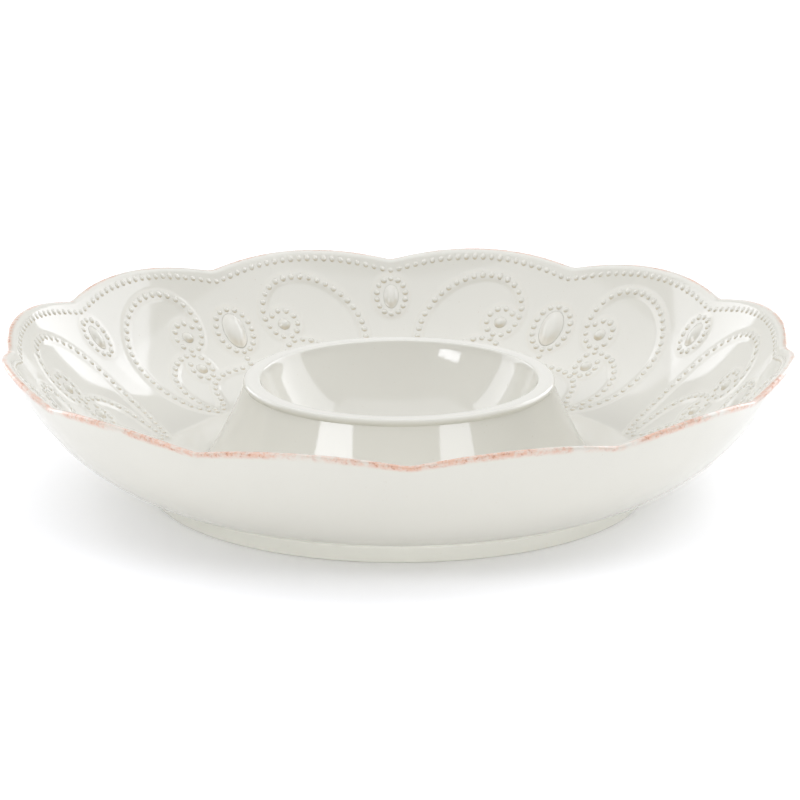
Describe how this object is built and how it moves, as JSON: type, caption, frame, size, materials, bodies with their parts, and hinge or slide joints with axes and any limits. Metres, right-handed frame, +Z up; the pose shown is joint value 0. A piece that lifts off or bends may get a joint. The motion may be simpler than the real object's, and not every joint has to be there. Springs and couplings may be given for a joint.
{
  "type": "chip and dip server",
  "caption": "Wide round stoneware bowl with a scalloped rim, beaded scroll relief inside and a raised round dip well in the middle.",
  "frame": {"origin": "centre of the foot ring's resting face", "axes": "+Z up, along the bowl's axis; a notch between two rim lobes faces -Y, the front"},
  "size_m": [0.3476, 0.3476, 0.067],
  "materials": {
    "bowl_glaze": "gloss",
    "foot_glaze": "gloss",
    "well_glaze": "gloss",
    "rim_wash": "gloss",
    "relief_glaze": "gloss"
  },
  "bodies": {
    "root": {"chip_bowl": "bowl_glaze", "foot_ring": "foot_glaze", "well_skirt": "bowl_glaze", "well_cup": "well_glaze", "well_lip": "well_glaze", "rim_edge": "rim_wash", "pearls": "relief_glaze", "arches": "relief_glaze", "rim_beads_00": "relief_glaze", "rim_beads_01": "relief_glaze", "rim_beads_02": "relief_glaze", "rim_beads_03": "relief_glaze", "rim_beads_04": "relief_glaze", "rim_beads_05": "relief_glaze", "rim_beads_06": "relief_glaze", "rim_beads_07": "relief_glaze", "rim_beads_08": "relief_glaze", "rim_beads_09": "relief_glaze", "rim_beads_10": "relief_glaze", "rim_beads_11": "relief_glaze", "scroll_00": "relief_glaze", "scroll_01": "relief_glaze", "scroll_02": "relief_glaze", "scroll_03": "relief_glaze", "scroll_04": "relief_glaze", "scroll_05": "relief_glaze", "scroll_06": "relief_glaze", "scroll_07": "relief_glaze", "scroll_08": "relief_glaze", "scroll_09": "relief_glaze", "scroll_10": "relief_glaze", "scroll_11": "relief_glaze", "curl_00": "relief_glaze", "curl_01": "relief_glaze", "curl_02": "relief_glaze", "curl_03": "relief_glaze", "curl_04": "relief_glaze", "curl_05": "relief_glaze", "curl_06": "relief_glaze", "curl_07": "relief_glaze", "curl_08": "relief_glaze", "curl_09": "relief_glaze", "curl_10": "relief_glaze", "curl_11": "relief_glaze", "small_oval_00": "relief_glaze", "small_oval_01": "relief_glaze", "small_oval_02": "relief_glaze", "small_oval_03": "relief_glaze", "small_oval_04": "relief_glaze", "small_oval_05": "relief_glaze", "large_oval_00": "relief_glaze", "large_oval_01": "relief_glaze", "large_oval_02": "relief_glaze", "large_oval_03": "relief_glaze", "large_oval_04": "relief_glaze", "large_oval_05": "relief_glaze"}
  },
  "joints": []
}
